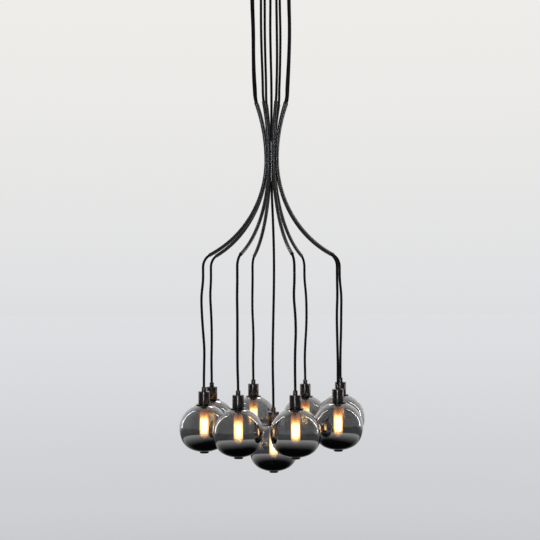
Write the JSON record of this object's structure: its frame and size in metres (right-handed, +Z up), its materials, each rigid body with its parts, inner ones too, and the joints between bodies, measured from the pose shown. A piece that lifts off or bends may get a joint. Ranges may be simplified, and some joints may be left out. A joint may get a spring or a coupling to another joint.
{
  "type": "cluster pendant lamp",
  "caption": "Cluster pendant: bent tubes bundled round a hub carry a ring of hanging glass globes with one lower in the middle, under a round canopy.",
  "frame": {"origin": "centre of the canopy's rim, on the ceiling face", "axes": "+Z up, out of the ceiling face; the object hangs along -Z; -Y is the front, +X is to its right"},
  "size_m": [0.6434, 0.6434, 1.7835],
  "materials": {
    "canopy_metal": "satin black",
    "arm_metal": "satin black bronze",
    "zinc_steel": "zinc plated",
    "holder_metal": "dark nickel",
    "grip_plastic": "matt black",
    "block_plastic": "matt white",
    "bush_rubber": "matt black",
    "cord_braid": "matt black braid",
    "smoke_glass": "smoke tint, denser towards the bottom",
    "bulb_glass": "clear amber"
  },
  "bodies": {
    "frame": {"canopy": "canopy_metal", "crossbar": "zinc_steel", "canopy_screws": "zinc_steel", "terminal_block": "block_plastic", "cord_grips": "grip_plastic", "hub_tube": "arm_metal", "arm_1": "arm_metal", "arm_2": "arm_metal", "arm_3": "arm_metal", "arm_4": "arm_metal", "arm_5": "arm_metal", "arm_6": "arm_metal", "arm_7": "arm_metal", "arm_8": "arm_metal", "arm_bushes": "bush_rubber", "feed_cord_1": "cord_braid", "feed_cord_2": "cord_braid", "feed_cord_3": "cord_braid", "feed_cord_4": "cord_braid", "feed_cord_5": "cord_braid", "feed_cord_6": "cord_braid", "feed_cord_7": "cord_braid", "feed_cord_8": "cord_braid", "feed_cord_centre": "cord_braid"},
    "pendant_1": {"drop_cord_1": "cord_braid", "lampholder_1": "holder_metal", "globe_1": "smoke_glass", "bulb_1": "bulb_glass"},
    "pendant_2": {"drop_cord_2": "cord_braid", "lampholder_2": "holder_metal", "globe_2": "smoke_glass", "bulb_2": "bulb_glass"},
    "pendant_3": {"drop_cord_3": "cord_braid", "lampholder_3": "holder_metal", "globe_3": "smoke_glass", "bulb_3": "bulb_glass"},
    "pendant_4": {"drop_cord_4": "cord_braid", "lampholder_4": "holder_metal", "globe_4": "smoke_glass", "bulb_4": "bulb_glass"},
    "pendant_5": {"drop_cord_5": "cord_braid", "lampholder_5": "holder_metal", "globe_5": "smoke_glass", "bulb_5": "bulb_glass"},
    "pendant_6": {"drop_cord_6": "cord_braid", "lampholder_6": "holder_metal", "globe_6": "smoke_glass", "bulb_6": "bulb_glass"},
    "pendant_7": {"drop_cord_7": "cord_braid", "lampholder_7": "holder_metal", "globe_7": "smoke_glass", "bulb_7": "bulb_glass"},
    "pendant_8": {"drop_cord_8": "cord_braid", "lampholder_8": "holder_metal", "globe_8": "smoke_glass", "bulb_8": "bulb_glass"},
    "pendant_centre": {"drop_cord_centre": "cord_braid", "lampholder_centre": "holder_metal", "globe_centre": "smoke_glass", "bulb_centre": "bulb_glass"}
  },
  "joints": [
    {"name": "swing_1", "type": "hinge", "parent": "frame", "child": "pendant_1", "pos_m": [0.23467, 0.0972, -1.065], "axis": [0.3827, -0.9239, 0], "range_deg": [-2, 20]},
    {"name": "swing_2", "type": "hinge", "parent": "frame", "child": "pendant_2", "pos_m": [0.0972, 0.23467, -1.065], "axis": [0.9239, -0.3827, 0], "range_deg": [-2, 20]},
    {"name": "swing_3", "type": "hinge", "parent": "frame", "child": "pendant_3", "pos_m": [-0.0972, 0.23467, -1.065], "axis": [0.9239, 0.3827, 0], "range_deg": [-2, 20]},
    {"name": "swing_4", "type": "hinge", "parent": "frame", "child": "pendant_4", "pos_m": [-0.23467, 0.0972, -1.065], "axis": [0.3827, 0.9239, 0], "range_deg": [-2, 20]},
    {"name": "swing_5", "type": "hinge", "parent": "frame", "child": "pendant_5", "pos_m": [-0.23467, -0.0972, -1.065], "axis": [-0.3827, 0.9239, 0], "range_deg": [-2, 20]},
    {"name": "swing_6", "type": "hinge", "parent": "frame", "child": "pendant_6", "pos_m": [-0.0972, -0.23467, -1.065], "axis": [-0.9239, 0.3827, 0], "range_deg": [-2, 20]},
    {"name": "swing_7", "type": "hinge", "parent": "frame", "child": "pendant_7", "pos_m": [0.0972, -0.23467, -1.065], "axis": [-0.9239, -0.3827, 0], "range_deg": [-2, 20]},
    {"name": "swing_8", "type": "hinge", "parent": "frame", "child": "pendant_8", "pos_m": [0.23467, -0.0972, -1.065], "axis": [-0.3827, -0.9239, 0], "range_deg": [-2, 20]},
    {"name": "swing_centre", "type": "hinge", "parent": "frame", "child": "pendant_centre", "pos_m": [0, 0, -0.766], "axis": [0, 1, 0], "range_deg": [-4, 4]}
  ]
}
